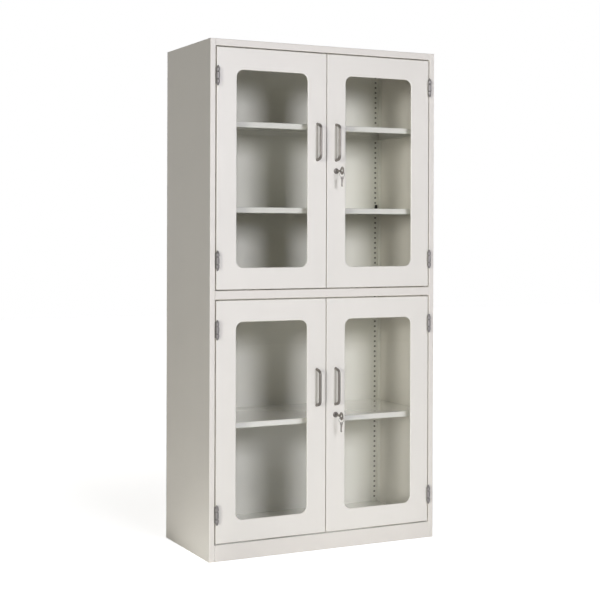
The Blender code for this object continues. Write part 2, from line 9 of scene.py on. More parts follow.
import bmesh
import bpy
import numpy as np
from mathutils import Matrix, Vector

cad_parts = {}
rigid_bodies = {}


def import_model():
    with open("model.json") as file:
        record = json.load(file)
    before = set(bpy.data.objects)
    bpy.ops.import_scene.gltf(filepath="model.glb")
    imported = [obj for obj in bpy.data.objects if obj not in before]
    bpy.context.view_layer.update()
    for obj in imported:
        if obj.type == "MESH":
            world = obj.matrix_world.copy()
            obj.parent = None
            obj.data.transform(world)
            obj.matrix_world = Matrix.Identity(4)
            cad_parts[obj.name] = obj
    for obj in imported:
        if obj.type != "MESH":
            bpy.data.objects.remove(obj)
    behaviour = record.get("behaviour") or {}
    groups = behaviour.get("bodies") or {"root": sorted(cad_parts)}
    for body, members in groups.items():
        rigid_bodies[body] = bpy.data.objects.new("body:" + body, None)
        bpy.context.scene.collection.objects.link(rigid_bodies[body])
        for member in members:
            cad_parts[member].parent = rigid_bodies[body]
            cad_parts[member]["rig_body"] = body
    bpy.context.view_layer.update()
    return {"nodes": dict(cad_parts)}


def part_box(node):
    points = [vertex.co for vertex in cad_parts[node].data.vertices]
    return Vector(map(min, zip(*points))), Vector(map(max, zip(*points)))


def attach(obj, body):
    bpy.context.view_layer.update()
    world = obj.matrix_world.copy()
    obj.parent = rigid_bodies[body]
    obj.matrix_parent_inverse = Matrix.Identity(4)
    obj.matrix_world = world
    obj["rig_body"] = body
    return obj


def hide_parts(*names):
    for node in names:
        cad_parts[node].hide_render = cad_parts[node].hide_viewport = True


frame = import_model()
scene = bpy.context.scene
scene.view_settings.view_transform = "Standard"


# Camera: it stands to the left of the cabinet, a little above its middle rail, and looks almost level, so the
# uprights stay all but upright. The lens is long, and is shifted down to take in the floor.
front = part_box("left_side_panel")[0].y
camera_across = -2.1700        # from the middle of the cabinet
camera_ahead = 4.1716          # from the frame's front face
camera_height = 1.1417
camera_tilt = 89.8755          # degrees up from straight down
camera_roll = -0.174           # degrees
camera_turn = -26.3235         # degrees, to the right of straight ahead
sensor_width = 36.0            # millimetres
lens_length = 78.86            # millimetres
lens_shift = -0.11157          # share of the picture's width

camera = bpy.data.objects.new("camera", bpy.data.cameras.new("camera"))
scene.collection.objects.link(camera)
camera.location = (camera_across, front - camera_ahead, camera_height)
camera.rotation_euler = [math.radians(angle) for angle in (camera_tilt, camera_roll, camera_turn)]
camera.data.sensor_width = sensor_width
camera.data.lens = lens_length
camera.data.shift_y = lens_shift
scene.camera = camera


# Studio: a large soft lamp ahead of the doors, a weak sun from the left, two spots on the floor beside and
# before the cabinet, and a pale room that fills the shadows. The camera sees the room white, straight or
# through glass, while metal and glass mirror it dimmer on the left and on the camera's side.
class Signal:
    """A socket of a node tree. Arithmetic on signals adds Math nodes, and make() adds any other node."""

    def __init__(self, tree, socket=None):
        self.tree = tree
        self.socket = socket

    def make(self, kind, settings=(), sockets=(), output=0):
        """Add a node from its type, its settings, and its sockets' values or links. Gives one output."""
        node = self.tree.nodes.new(kind)
        for setting, value in dict(settings).items():
            setattr(node, setting, value)
        for socket, value in dict(sockets).items():
            if isinstance(value, Signal):
                self.tree.links.new(value.socket, node.inputs[socket])
            else:
                node.inputs[socket].default_value = value
        return Signal(self.tree, node.outputs[output] if node.outputs else None)

    def math(self, operation, first, second):
        """One Math node on two values."""
        return self.make("ShaderNodeMath", {"operation": operation}, {0: first, 1: second})

    def __add__(self, other):
        return self.math("ADD", self, other)

    def __radd__(self, other):
        return self.math("ADD", other, self)

    def __sub__(self, other):
        return self.math("SUBTRACT", self, other)

    def __rsub__(self, other):
        return self.math("SUBTRACT", other, self)

    def __mul__(self, other):
        return self.math("MULTIPLY", self, other)

    def __rmul__(self, other):
        return self.math("MULTIPLY", other, self)


def mixed(factor, first, second):
    """A colour between two colours: the first at a factor of 0 and the second at 1."""
    sockets = {0: factor, 6: first, 7: second}
    return factor.make("ShaderNodeMix", {"data_type": "RGBA", "clamp_factor": True}, sockets, 2)


def eased(value, span, low, high=1.0):
    """Low before a span of the value, high after it, and a smooth step in between."""
    return value.make("ShaderNodeMapRange", {"interpolation_type": "SMOOTHSTEP"}, {
        "Value": value, "From Min": span[0], "From Max": span[1], "To Min": low, "To Max": high})


def ray(start, kind):
    """1 for a ray of one kind, such as a camera ray, and 0 for every other ray."""
    return start.make("ShaderNodeLightPath", output=f"Is {kind} Ray")


def looked_at(start):
    """1 where the camera looks at a surface, straight or through glass, and 0 for every other ray."""
    return start.math("MAXIMUM", ray(start, "Camera"), ray(start, "Transmission"))


def lamp_at(name, kind, energy, tint, place, target):
    """A lamp that stands at a place and shines at a target. A sun only takes its direction from them."""
    lamp = bpy.data.objects.new(name, bpy.data.lights.new(name, kind))
    scene.collection.objects.link(lamp)
    lamp.data.energy = energy
    lamp.data.color = tint
    lamp.location = place
    lamp.rotation_euler = (Vector(target) - Vector(place)).to_track_quat("-Z", "Y").to_euler()
    lamp.visible_camera = False
    return lamp


middle_of_doors = (0, front, 0.92)
front_watts = 94.0
front_tint = (0.97, 0.965, 1.08)
front_place = (0.0, front - 4.2, 2.0)
front_lamp = lamp_at("front_lamp", "AREA", front_watts, front_tint, front_place, middle_of_doors)
front_lamp.data.shape = "RECTANGLE"
front_lamp.data.size = 1.15
front_lamp.data.size_y = 1.0

sun_strength = 1.05
sun_tint = (1.0, 0.99, 0.98)
sun_place = (-4.05, front - 2.94, 1.45)
sun_width = 13                 # degrees, and the wider the softer its shadows
left_lamp = lamp_at("left_lamp", "SUN", sun_strength, sun_tint, sun_place, middle_of_doors)
left_lamp.data.angle = math.radians(sun_width)

# Each spot has a name, watts, the middle of its patch, its cone in degrees and the softness of its edge.
spot_height = 3.2
spot_tint = (1.0, 0.99, 0.97)
floor_spots = (("left_floor_lamp", 270.0, (-1.2, -0.2), 30, 0.35),
               ("front_floor_lamp", 175.0, (0.1, front - 1.0), 42, 0.8))
for name, watts, patch, cone, soft_edge in floor_spots:
    floor_lamp = lamp_at(name, "SPOT", watts, spot_tint, (*patch, spot_height), (*patch, 0))
    floor_lamp.data.spot_size = math.radians(cone)
    floor_lamp.data.spot_blend = soft_edge
    floor_lamp.visible_glossy = False

fill_low = 0.0                 # the room's light from the front and left, on painted surfaces
fill_high = 1.35               # the room's light from the rear and right
fill_span = (0.5, 0.95)        # how far round to the rear right it rises from the one to the other
fill_tint = (1.0, 0.95, 0.86, 1.0)
slant = 0.7                    # share of each axis in the way to the rear right
camera_side = 0.06             # how bright the room behind the camera is in metal and glass
camera_span = (-0.45, 0.15)    # how far round to the rear it rises to white
left_side = 0.15               # how bright its left wall is there
left_span = (-0.6, -0.1)       # how far round to the right it rises to white
white = (1.0, 1.0, 1.0, 1.0)
room = bpy.data.worlds.new("room")
scene.world = room
room.use_nodes = True
room.node_tree.nodes.clear()
start = Signal(room.node_tree)
way = start.make("ShaderNodeTexCoord", output="Generated")
to_right = start.make("ShaderNodeSeparateXYZ", sockets={"Vector": way}, output="X")
to_rear = start.make("ShaderNodeSeparateXYZ", sockets={"Vector": way}, output="Y")
fill = eased(to_right * slant + to_rear * slant, fill_span, fill_low, fill_high)
mirrored = eased(to_rear, camera_span, camera_side) * eased(to_right, left_span, left_side)
glossy_ray = ray(start, "Glossy")
seen = looked_at(start)
strength = fill + glossy_ray * (mirrored - fill)
strength = strength + seen * (1 - strength)
tint = mixed(start.math("MAXIMUM", seen, glossy_ray), fill_tint, white)
glow = start.make("ShaderNodeBackground", sockets={"Color": tint, "Strength": strength})
start.make("ShaderNodeOutputWorld", sockets={"Surface": glow})


# Floor: a wide matt sheet, almost white, that the cabinet stands on. For the camera it is lifted to white by
# a glow of its own, which is weaker by the cabinet, so that it keeps the cabinet's shadow.
def srgb(red, green, blue):
    """A colour as read off a screen, from 0 to 255, in the linear values that a shader takes: a straight line
    for the darkest values, and a power of 2.4 above them."""
    share = np.array([red, green, blue]) / 255
    linear = np.where(share <= 0.04045, share / 12.92, ((share + 0.055) / 1.055) ** 2.4)
    return (*(float(value) for value in linear), 1.0)


def new_finish(name):
    """An empty material, a signal to build its nodes from, and the place on a piece for its patterns."""
    material = bpy.data.materials.new(name)
    material.use_nodes = True
    material.node_tree.nodes.clear()
    start = Signal(material.node_tree)
    return material, start, start.make("ShaderNodeTexCoord", output="Object")


def speckled(place, scale, detail, distortion=0.0):
    """A noise over the places of a piece, from 0 to 1 and mostly close to a half."""
    return place.make("ShaderNodeTexNoise", sockets={
        "Vector": place, "Scale": scale, "Detail": detail, "Distortion": distortion})


floor_reach = 12.0
near_lift = 0.78               # how much the floor is lifted for the camera, by the cabinet
far_lift = 0.93                # and away from it
lift_span = (0.7, 2.2)         # from the middle of the cabinet
floor_finish, start, place = new_finish("matt_floor")
pale = mixed(speckled(place, scale=6.0, detail=3.0), srgb(226, 226, 225), srgb(232, 232, 231))
matt = start.make("ShaderNodeBsdfPrincipled", sockets={
    "Base Color": pale, "Roughness": 0.9, "Specular IOR Level": 0.1})
away = start.make("ShaderNodeVectorMath", {"operation": "LENGTH"}, {0: place}, "Value")
lift = looked_at(start) * eased(away, lift_span, near_lift, far_lift)
lifted = start.make("ShaderNodeEmission", sockets={"Color": white, "Strength": lift})
both = start.make("ShaderNodeAddShader", sockets={0: matt, 1: lifted})
start.make("ShaderNodeOutputMaterial", sockets={"Surface": both})

floor_mesh = bpy.data.meshes.new("floor")
floor_mesh.from_pydata([(-floor_reach, -floor_reach, 0), (floor_reach, -floor_reach, 0),
                        (floor_reach, floor_reach, 0), (-floor_reach, floor_reach, 0)], [], [(0, 1, 2, 3)])
floor = bpy.data.objects.new("floor", floor_mesh)
scene.collection.objects.link(floor)
floor.data.materials.append(floor_finish)


# Side panels: each is one steel sheet, powder coated, folded round its front edge into a stile with a return
# behind it, and folded in at the rear. The folds are pressed to a radius of about two millimetres.
sheet = 0.0012                 # steel sheet of the whole cabinet
half_sheet = sheet / 2
fold_radius = 0.0018
return_depth = 0.020
rear_flange = 0.020
paint_wander = 0.045           # how far a paint goes darker and lighter, as a share of its colour
cloud_weight = 0.7             # the slow noise's part in that
fleck_weight = 0.5             # the fine one's part
rough_wander = 0.3             # how far a paint's roughness goes up and down, as a share of itself
peel_depth = 0.0004
upwards = (0, 1, 2)            # a path across and in depth, carried up
flat_from = 0.99999            # largest value of a face's normal from which the face is flat


def shade(colour, share):
    """A colour times a share, and at most white."""
    return (*(min(1.0, value * share) for value in colour[:3]), 1.0)


def powder_coat(name, paint, roughness=0.42, peel_strength=0.12, lacquer=0.0):
    """Baked powder paint. The colour wanders slowly round the paint's own and is flecked very finely, the
    roughness follows the slow noise, and the skin has a shallow orange peel, a millimetre or two across.
    Lacquer is the weight of a clear coat."""
    material, start, place = new_finish(name)
    clouds = speckled(place, scale=4.0, detail=3.0) - 0.5
    flecks = speckled(place, scale=1100.0, detail=2.0) - 0.5
    peel = speckled(place, scale=520.0, detail=1.5)
    tone = 0.5 + clouds * cloud_weight + flecks * fleck_weight
    colour = mixed(tone, shade(paint, 1 - paint_wander), shade(paint, 1 + paint_wander))
    skin = start.make("ShaderNodeBump", output="Normal", sockets={
        "Strength": peel_strength, "Distance": peel_depth, "Height": peel})
    coat = start.make("ShaderNodeBsdfPrincipled", sockets={
        "Base Color": colour, "Roughness": roughness + clouds * (rough_wander * roughness), "Normal": skin,
        "IOR": 1.48, "Coat Weight": lacquer, "Coat Roughness": 0.03})
    start.make("ShaderNodeOutputMaterial", sockets={"Surface": coat})
    return material


def folded_path(corners, radius, steps=6, hold=0.0006):
    """The middle line of a folded sheet: straight runs joined by arcs. A point of an arc is its centre plus
    the radius turned evenly from the first run's normal to the next one's. A point on each run close to the
    arc holds the flats flat. Gives the points and their normals, which are on the left of the way along."""
    corners = np.array(corners, float)
    ways = np.diff(corners, axis=0)
    ways /= np.linalg.norm(ways, axis=1, keepdims=True)
    lefts = np.stack([-ways[:, 1], ways[:, 0]], axis=1)
    points = [corners[:1]]
    normals = [lefts[:1]]
    share = np.linspace(0, 1, steps + 1)[:, None]
    for corner, before, after, left, next_left in zip(corners[1:-1], ways, ways[1:], lefts, lefts[1:]):
        turn = np.sign(before[0] * after[1] - before[1] * after[0])
        bend = math.acos(np.clip(before @ after, -1, 1))
        reach = radius * math.tan(bend / 2)
        normal = left * np.cos(turn * bend * share) - before * np.sin(turn * bend * share)
        centre = corner - before * reach + turn * left * radius
        points += [[corner - before * (reach + hold)], centre - turn * radius * normal,
                   [corner + after * (reach + hold)]]
        normals += [[left], normal, [next_left]]
    points.append(corners[-1:])
    normals.append(lefts[-1:])
    return np.concatenate(points), np.concatenate(normals)


def two_faces(points, normals, thickness):
    """The two faces of a sheet: its middle line moved half the thickness along its normals, both ways."""
    offsets = np.array([0.5, -0.5]) * thickness
    return points[:, None] + normals[:, None] * offsets[None, :, None]


def quads(numbers):
    """The four-cornered faces between neighbours in a grid of vertex numbers."""
    corners = [numbers[:-1, :-1], numbers[1:, :-1], numbers[1:, 1:], numbers[:-1, 1:]]
    return np.stack(corners, axis=-1).reshape(-1, 4)


def sheet_shell(grid, is_ring=False):
    """A closed shell round a grid of profile points, the two faces of the sheet, and stations along the
    piece. A ring joins its last station to its first."""
    numbers = np.arange(grid[..., 0].size).reshape(grid.shape[:3])
    if is_ring:
        numbers = np.concatenate([numbers, numbers[:, :, :1]], axis=2)
    faces = [quads(numbers[:, 0]), quads(numbers[:, 1]), quads(numbers[0]), quads(numbers[-1])]
    if not is_ring:
        faces += [quads(numbers[:, :, 0]), quads(numbers[:, :, -1])]
    return grid.reshape(-1, 3), faces


def folded_sheet(corners, along, axes, thickness=sheet):
    """A sheet folded along a path and carried straight from one end to the other: each point of its two faces
    stands at both ends. The axes say which way the path's two values and the length go."""
    sides = two_faces(*folded_path(corners, fold_radius), thickness)
    grid = np.zeros((len(sides), 2, len(along), 3))
    grid[..., axes[0]] = sides[:, :, None, 0]
    grid[..., axes[1]] = sides[:, :, None, 1]
    grid[..., axes[2]] = np.array(along)
    return sheet_shell(grid)


def show(name, shells, stands_for, finish, crease=38, body=None):
    """Make one piece of its shells. It takes the place of a CAD node and rides where that node rides, or is
    an extra piece that rides on a body. Bends of less than the crease's degrees are smooth."""
    points = []
    faces = []
    count = 0
    for shell_points, shell_faces in shells:
        points.append(shell_points)
        for group in shell_faces:
            faces += (group + count).tolist()
        count += len(shell_points)
    mesh = bpy.data.meshes.new(name)
    mesh.from_pydata(np.concatenate(points).tolist(), [], faces)
    bm = bmesh.new()
    bm.from_mesh(mesh)
    bmesh.ops.recalc_face_normals(bm, faces=bm.faces)
    bm.to_mesh(mesh)
    bm.free()
    normals = np.zeros(len(mesh.polygons) * 3)
    mesh.polygons.foreach_get("normal", normals)
    is_curved = np.abs(normals.reshape(-1, 3)).max(axis=1) < flat_from
    mesh.polygons.foreach_set("use_smooth", is_curved)
    mesh.set_sharp_from_angle(angle=math.radians(crease))
    mesh.materials.append(finish)
    piece = bpy.data.objects.new(name, mesh)
    scene.collection.objects.link(piece)
    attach(piece, body or frame["nodes"][stands_for]["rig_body"])
    if stands_for:
        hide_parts(stands_for)


frame_paint = powder_coat("frame_paint", srgb(239, 235, 224))
for side, hand in ((-1, "left"), (1, "right")):
    low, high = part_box(f"{hand}_side_panel")
    outer = max(abs(low.x), abs(high.x)) - half_sheet
    inner = min(abs(low.x), abs(high.x)) + half_sheet
    run = [(inner, front + return_depth), (inner, front + half_sheet), (outer, front + half_sheet),
           (outer, high.y - half_sheet), (outer + half_sheet - rear_flange, high.y - half_sheet)]
    run = [(side * across, depth) for across, depth in run]
    panel = folded_sheet(run, (low.z, high.z), upwards)
    show(f"{hand}_side_sheet", [panel], f"{hand}_side_panel", frame_paint)


# Lid: one sheet that covers the side panels, with the top front rail folded down from it between the stiles
# and a return folded back at the rail's foot. It is spot welded from inside, so nothing shows on top.
stile_width = 0.020
fit_gap = 0.0003
top_rail = 0.024
sideways = (1, 2, 0)           # a path in depth and height, carried across

low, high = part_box("top_panel")
half_width = high.x
between = half_width - stile_width - fit_gap
rail_foot = high.z - top_rail + half_sheet
lid_height = high.z - half_sheet
rail_run = [(front + return_depth, rail_foot), (front + half_sheet, rail_foot),
            (front + half_sheet, lid_height), (high.y, lid_height)]
flat_run = [(front, lid_height), (high.y, lid_height)]
lid = [folded_sheet(rail_run, (-between, between), sideways)]
for side in (-1, 1):
    lid.append(folded_sheet(flat_run, (side * between, side * half_width), sideways))
show("lid_sheet", lid, "top_panel", frame_paint)


# Plinth: a channel folded from sheet between the stiles. Its upper flange carries the lower deck and its
# lower one stands on the floor.
plinth_flange = 0.025

low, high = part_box("plinth_rail")
plinth_run = [(front + plinth_flange, half_sheet), (front + half_sheet, half_sheet),
              (front + half_sheet, high.z - half_sheet), (front + plinth_flange, high.z - half_sheet)]
channel = folded_sheet(plinth_run, (low.x, high.x), sideways)
show("plinth_channel", [channel], "plinth_rail", frame_paint)


# Middle deck: the fixed sheet between the two compartments, with the middle rail folded from its front edge
# and a lip at its rear. It is notched round the four slotted uprights.
low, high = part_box("middle_divider")
inside_walls = high.x
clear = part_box("right_rear_upright")[0].x - fit_gap
notch_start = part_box("right_front_upright")[0].y - fit_gap
notch_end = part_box("right_front_upright")[1].y + fit_gap
rear_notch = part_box("right_rear_upright")[0].y - fit_gap
foot = low.z + half_sheet
deck = high.z - half_sheet
rail_front = [(front + return_depth, foot), (front + half_sheet, foot), (front + half_sheet, deck)]
rear_lip = [(high.y - half_sheet, deck), (high.y - half_sheet, low.z)]
rail_end = [*rail_front, (notch_start, deck)]
deck_side = [(notch_end, deck), (rear_notch, deck)]
deck_sheets = [folded_sheet([*rail_front, *rear_lip], (-clear, clear), sideways)]
for side in (-1, 1):
    deck_sheets.append(folded_sheet(rail_end, (side * clear, side * between), sideways))
    deck_sheets.append(folded_sheet(deck_side, (side * clear, side * inside_walls), sideways))
show("middle_deck", deck_sheets, "middle_divider", frame_paint)


# Back, lower deck, slotted uprights and shelf bearers: flat sheets and punched angles in a paint a little
# glossier than the frame's, and lacquered where things stand on it. Their paint is also made a little lighter
# than the frame's as painted light, to stand in for more light inside the cabinet. Their solids already have
# the real slots, ears and tongues, so they stay.
def coat_solid(node, finish):
    """Give a CAD solid that stays its finish."""
    node.data.materials.clear()
    node.data.materials.append(finish)


inner_paint = powder_coat("inner_paint", srgb(242, 241, 231), roughness=0.3)
shelf_paint = powder_coat("shelf_paint", srgb(241, 240, 231), roughness=0.06, peel_strength=0.01, lacquer=1.0)
for name, node in frame["nodes"].items():
    if name == "back_panel" or name.endswith(("_upright", "_bearer")):
        coat_solid(node, inner_paint)
coat_solid(frame["nodes"]["base_panel"], shelf_paint)


# Slot backs: every slot of the rear uprights shows as a dark spot, for the shade in the hollow behind the
# slotted face. A thin strip of mottled dark colour lies there, against the back, as painted shade for it.
slot_half = 0.006
strip_thickness = 0.0004
# The strip's dark, mottled colour is painted shade that stands in for the hollow behind the slots.
slot_shade_finish, start, place = new_finish("slot_shade_finish")
shade_mottle = speckled(place, scale=90.0, detail=4.0)
painted_slot_shade = start.make("ShaderNodeBsdfPrincipled", sockets={
    "Base Color": mixed(shade_mottle, srgb(68, 66, 57), srgb(94, 91, 80)), "Roughness": 0.55 + (shade_mottle - 0.5) * 0.3,
    "Metallic": 0.2})
start.make("ShaderNodeOutputMaterial", sockets={"Surface": painted_slot_shade})

strip_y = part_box("back_panel")[0].y - fit_gap - strip_thickness / 2
for hand in ("left", "right"):
    low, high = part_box(f"{hand}_rear_upright")
    slot_x = (low.x + high.x) / 2
    strip_run = [(slot_x - slot_half, strip_y), (slot_x + slot_half, strip_y)]
    strip = folded_sheet(strip_run, (low.z, high.z), upwards, strip_thickness)
    show(f"{hand}_slot_back", [strip], None, slot_shade_finish, body="cabinet")


# Shelves: pressed steel trays, turned upside down. The front lip has a hem folded back under it, the rear lip
# and the side lips are plain, and the tray stands on its two bearers by the side lips.
hem = 0.010
lip_inset = 2 * sheet
backwards = (0, 2, 1)          # a path across and in height, carried back

for name in ("upper_top_shelf", "upper_lower_shelf", "lower_shelf"):
    low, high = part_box(name)
    top = high.z - half_sheet
    hem_height = low.z + half_sheet
    shelf_run = [(low.y + hem, hem_height), (low.y + half_sheet, hem_height), (low.y + half_sheet, top),
                 (high.y - half_sheet, top), (high.y - half_sheet, low.z)]
    tray = [folded_sheet(shelf_run, (low.x, high.x), sideways)]
    lip_ends = (low.y + lip_inset, high.y - lip_inset)
    for edge in (low.x + half_sheet, high.x - half_sheet):
        tray.append(folded_sheet([(edge, low.z), (edge, high.z - sheet)], lip_ends, backwards))
    show(f"{name}_tray", tray, name, shelf_paint)


# Shelf clip: a black spring-steel clip in the first slot above the second shelf, on the rear right upright.
# Its narrow tongue is bent to an L and goes into the slot, and its wide pad stands in front and keeps the
# shelf from lifting.
upright_sheet = 0.0015
next_slot = 0.010              # top of a shelf up to the next slot
tongue_half = 0.003
tongue_reach = 0.005           # ahead of the slotted face
tongue_rise = 0.008
pad_half = 0.0058
pad_drop = 0.004               # below the slot
pad_rise = 0.012               # above it
black_spring = powder_coat("black_spring", srgb(30, 29, 26), roughness=0.4)

low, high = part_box("right_rear_upright")
slot_x = (low.x + high.x) / 2
slot_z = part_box("upper_lower_shelf")[1].z + next_slot
slotted_face = high.y - upright_sheet
bend_y = slotted_face - tongue_reach
pad_y = bend_y - sheet - fit_gap
tongue_run = [(slotted_face + upright_sheet, slot_z), (bend_y, slot_z), (bend_y, slot_z + tongue_rise)]
tongue = folded_sheet(tongue_run, (slot_x - tongue_half, slot_x + tongue_half), sideways)
pad_run = [(pad_y, slot_z - pad_drop), (pad_y, slot_z + pad_rise)]
pad = folded_sheet(pad_run, (slot_x - pad_half, slot_x + pad_half), sideways)
show("shelf_clip", [tongue, pad], None, black_spring, body="cabinet")


# Doors: an outer pan with a round-cornered window, folded back all round its edge and in round the window,
# and an inner sheet that closes the pan from behind and holds the glass against the pan's window edge.
def rounded_outline(across, up, radius, steps=8, hold=0.004):
    """The outline of a rectangle with round corners, and its outward normals. Each corner's points are its
    centre plus the radius at evenly spread angles. Each side has three points between its corners: its
    middle, and one close to each end that holds it straight."""
    quarter = math.pi / 2
    angle = np.linspace(0, quarter, steps + 1)
    points = []
    normals = []
    corners = [(across[1], up[1]), (across[0], up[1]), (across[0], up[0]), (across[1], up[0])]
    inward = [(-1, -1), (1, -1), (1, 1), (-1, 1)]
    for number, (corner, way) in enumerate(zip(corners, inward)):
        swung = angle + number * quarter
        normal = np.stack([np.cos(swung), np.sin(swung)], axis=1)
        points.append(np.array(corner) + radius * np.array(way) + radius * normal)
        normals.append(normal)
    all_points = []
    all_normals = []
    share = np.array([hold, 0.5, 1 - hold])[:, None]
    for number in range(4):
        end = points[number][-1]
        beginning = points[(number + 1) % 4][0]
        all_points += [points[number], end + (beginning - end) * share]
        all_normals += [normals[number], np.repeat(normals[number][-1:], 3, axis=0)]
    return np.concatenate(all_points), np.concatenate(all_normals)


def framed_sheet(window, edge, window_run, edge_run):
    """A sheet with a window, closed all round. The profile's first points lie off the window's outline and
    its last ones off the door's edge: each is an outline point plus its normal times the profile's first
    value, at the depth of its second value."""
    grids = []
    for (points, normals), run in ((window, window_run), (edge, edge_run)):
        sides = two_faces(*run, sheet)
        flat = points[None, None] + normals[None, None] * sides[:, :, None, :1]
        depth = np.broadcast_to(front + sides[:, :, None, 1], flat.shape[:3])
        grids.append(np.stack([flat[..., 0], depth, flat[..., 1]], axis=-1))
    return sheet_shell(np.concatenate(grids), is_ring=True)


door_thickness = 0.020
window_margin = 0.075
window_radius = 0.026
window_lip = 0.0035
window_fold = 0.0020
glass_back = 0.0078            # rear face of the glass behind the door's face
liner_relief = 0.010           # inner sheet's window, larger than the front one
liner_rim = 1.6 * sheet        # a place near the inner sheet's rim that holds it flat
edge_radius = 0.0024           # corner of a door, seen from the front
edge_fold = 0.0012
far = 1.0                      # a place along the flat that only gives a fold its way, and is left off
door_paint = powder_coat("door_paint", srgb(243, 240, 229), roughness=0.36)
doors = [f"{level}_{hand}_door" for level in ("upper", "lower") for hand in ("left", "right")]

liner_back = door_thickness - half_sheet
pan_lip = folded_path([(half_sheet, window_lip), (half_sheet, half_sheet), (far, half_sheet)], window_fold)
pan_side = folded_path([(-far, half_sheet), (-half_sheet, half_sheet), (-half_sheet, door_thickness)],
                       edge_fold)
liner_lip = folded_path([(half_sheet, glass_back + fit_gap), (half_sheet, liner_back), (far, liner_back)],
                        window_fold)
pan_lip = [values[:-1] for values in pan_lip]
pan_side = [values[1:] for values in pan_side]
liner_lip = [values[:-1] for values in liner_lip]
liner_side = [np.array([(-liner_rim, liner_back), (-sheet - fit_gap, liner_back)]),
              np.repeat(liner_lip[1][-1:], 2, axis=0)]
for door in doors:
    low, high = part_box(f"{door}_shell")
    opening = [(low.x + window_margin, high.x - window_margin),
               (low.z + window_margin, high.z - window_margin)]
    edge = rounded_outline((low.x, high.x), (low.z, high.z), edge_radius)
    pan = framed_sheet(rounded_outline(*opening, window_radius), edge, pan_lip, pan_side)
    show(f"{door}_pan", [pan], f"{door}_shell", door_paint)
    wider = [(span[0] - liner_relief, span[1] + liner_relief) for span in opening]
    wider_window = rounded_outline(*wider, window_radius + liner_relief)
    liner = framed_sheet(wider_window, edge, liner_lip, liner_side)
    show(f"{door}_inner_sheet", [liner], f"{door}_liner", inner_paint)


# Glass: a clear float pane in each door, four millimetres thick, with the faint green of plain glass and the
# slightest haze of wiping marks. Its solid is the real pane, so it stays.
haze = 0.012
glass_finish, start, place = new_finish("clear_glass")
wiping = speckled(place, scale=9.0, detail=4.0, distortion=1.5)
pane = start.make("ShaderNodeBsdfPrincipled", sockets={
    "Base Color": mixed(wiping, srgb(252, 254, 252), srgb(254, 254, 253)), "Roughness": wiping * haze,
    "Transmission Weight": 1.0, "IOR": 1.45})
open_to_light = start.make("ShaderNodeBsdfTransparent", sockets={"Color": srgb(255, 255, 254)})
mirrored_ray = ray(start, "Glossy") * (1 - ray(start, "Transmission"))
lets_light = start.math("MAXIMUM", ray(start, "Diffuse"), mirrored_ray)
lets_light = start.math("MAXIMUM", ray(start, "Shadow"), lets_light)
glazing = start.make("ShaderNodeMixShader", sockets={0: lets_light, 1: pane, 2: open_to_light})
start.make("ShaderNodeOutputMaterial", sockets={"Surface": glazing})
for door in doors:
    coat_solid(frame["nodes"][f"{door}_glass"], glass_finish)


# Handles: bows bent from round bar and chrome plated, one on each door beside the meeting edge. Each foot is
# cut flush with the door and held by a screw from inside.
def plated(name, metal, roughness, rubbed, metallic=1.0):
    """Plated or bare metal. The colour is a shade darker where a slow noise is low, the roughness wanders
    with it, and fine rubbing marks, a stretched noise, are a shallow bump."""
    material, start, place = new_finish(name)
    cloud = speckled(place, scale=60.0, detail=4.0)
    stretched = start.make("ShaderNodeMapping", sockets={"Vector": place, "Scale": (1.0, 1.0, 0.12)})
    rubbing = speckled(stretched, scale=2600.0, detail=2.0)
    marks = start.make("ShaderNodeBump", output="Normal", sockets={
        "Strength": rubbed, "Distance": mark_depth, "Height": rubbing})
    skin = start.make("ShaderNodeBsdfPrincipled", sockets={
        "Base Color": mixed(cloud, shade(metal, dull_share), metal), "Metallic": metallic,
        "Roughness": roughness + (cloud - 0.5) * (dull_wander * roughness), "Normal": marks})
    start.make("ShaderNodeOutputMaterial", sockets={"Surface": skin})
    return material


def tube_shell(rings, is_ring=False):
    """A closed shell over a row of rings of points. Flat faces close its ends, or a ring joins them."""
    count, around = rings.shape[:2]
    numbers = np.arange(count * around).reshape(count, around)
    closed = np.concatenate([numbers, numbers[:, :1]], axis=1)
    if is_ring:
        return rings.reshape(-1, 3), [quads(np.concatenate([closed, closed[:1]]))]
    return rings.reshape(-1, 3), [quads(closed), numbers[:1], numbers[-1:]]


def rod_shell(corners, across, radius, bend, around=28):
    """A round rod bent in a plane of depth and height. A point is the middle line's point plus the radius
    times the cosine of its angle along the line's normal and the sine across. The ends are cut flush with the
    door: each end ring slides along the rod on to the plane of its first point."""
    points, normals = folded_path(corners, bend, steps=14)
    angle = np.linspace(0, 2 * math.pi, around, endpoint=False)
    flat = points[:, None] + radius * np.cos(angle)[None, :, None] * normals[:, None]
    for end, inner in ((0, 1), (-1, -2)):
        way = points[inner] - points[end]
        slide = (points[end, 0] - flat[end, :, :1]) / way[0]
        flat[end] += slide * way
    side = np.broadcast_to(across + radius * np.sin(angle), flat.shape[:2])
    return tube_shell(np.stack([side, flat[..., 0], flat[..., 1]], axis=-1))


dull_share = 0.82              # darkest shade of a metal
dull_wander = 0.5              # how far its roughness goes up and down, as a share of itself
mark_depth = 0.0001
handle_rod = 0.005             # radius of the bar
handle_reach = 0.028           # middle of the bar ahead of the door
handle_foot = 0.064            # middle of the handle to the middle of a foot
handle_end = 0.058             # middle of the handle to where the bar's line meets a leg's
handle_bend = 0.015
chrome = plated("chrome_plate", srgb(142, 137, 129), roughness=0.38, rubbed=0.05, metallic=0.6)
foot_y = front - fit_gap
bar_y = front - handle_reach
for door in doors:
    low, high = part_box(f"{door}_handle")
    middle = (low.z + high.z) / 2
    bar_run = [(foot_y, middle + handle_foot), (bar_y, middle + handle_end), (bar_y, middle - handle_end),
               (foot_y, middle - handle_foot)]
    bow = rod_shell(bar_run, (low.x + high.x) / 2, handle_rod, handle_bend)
    show(f"{door}_bow_handle", [bow], f"{door}_handle", chrome, crease=50)


